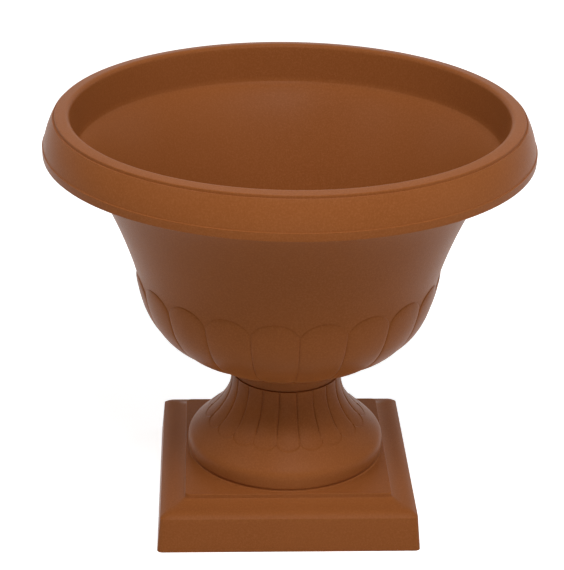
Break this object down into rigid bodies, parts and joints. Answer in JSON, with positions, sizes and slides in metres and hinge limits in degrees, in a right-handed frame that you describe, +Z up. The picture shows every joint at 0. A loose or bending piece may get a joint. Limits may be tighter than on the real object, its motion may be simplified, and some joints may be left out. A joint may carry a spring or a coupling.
{
  "type": "urn planter",
  "caption": "Round garden urn planter with a rolled rim and gadrooned bowl, bolted on a fluted pedestal with a square plinth.",
  "frame": {"origin": "middle of the square on which the plinth stands, on the vertical axis of the bowl", "axes": "+Z up, X and Y square to the plinth's sides, front of the plinth towards -Y"},
  "size_m": [0.3998, 0.3998, 0.3487],
  "materials": {
    "terracotta_plastic": "fine matte grain, moulded in terracotta",
    "zinc_steel": "bright zinc plating",
    "black_rubber": "matte"
  },
  "bodies": {
    "root": {"bowl": "terracotta_plastic", "pedestal": "terracotta_plastic", "centre_bolt": "zinc_steel", "sealing_washer": "black_rubber", "clamp_washer": "zinc_steel", "wing_nut": "zinc_steel"}
  },
  "joints": []
}
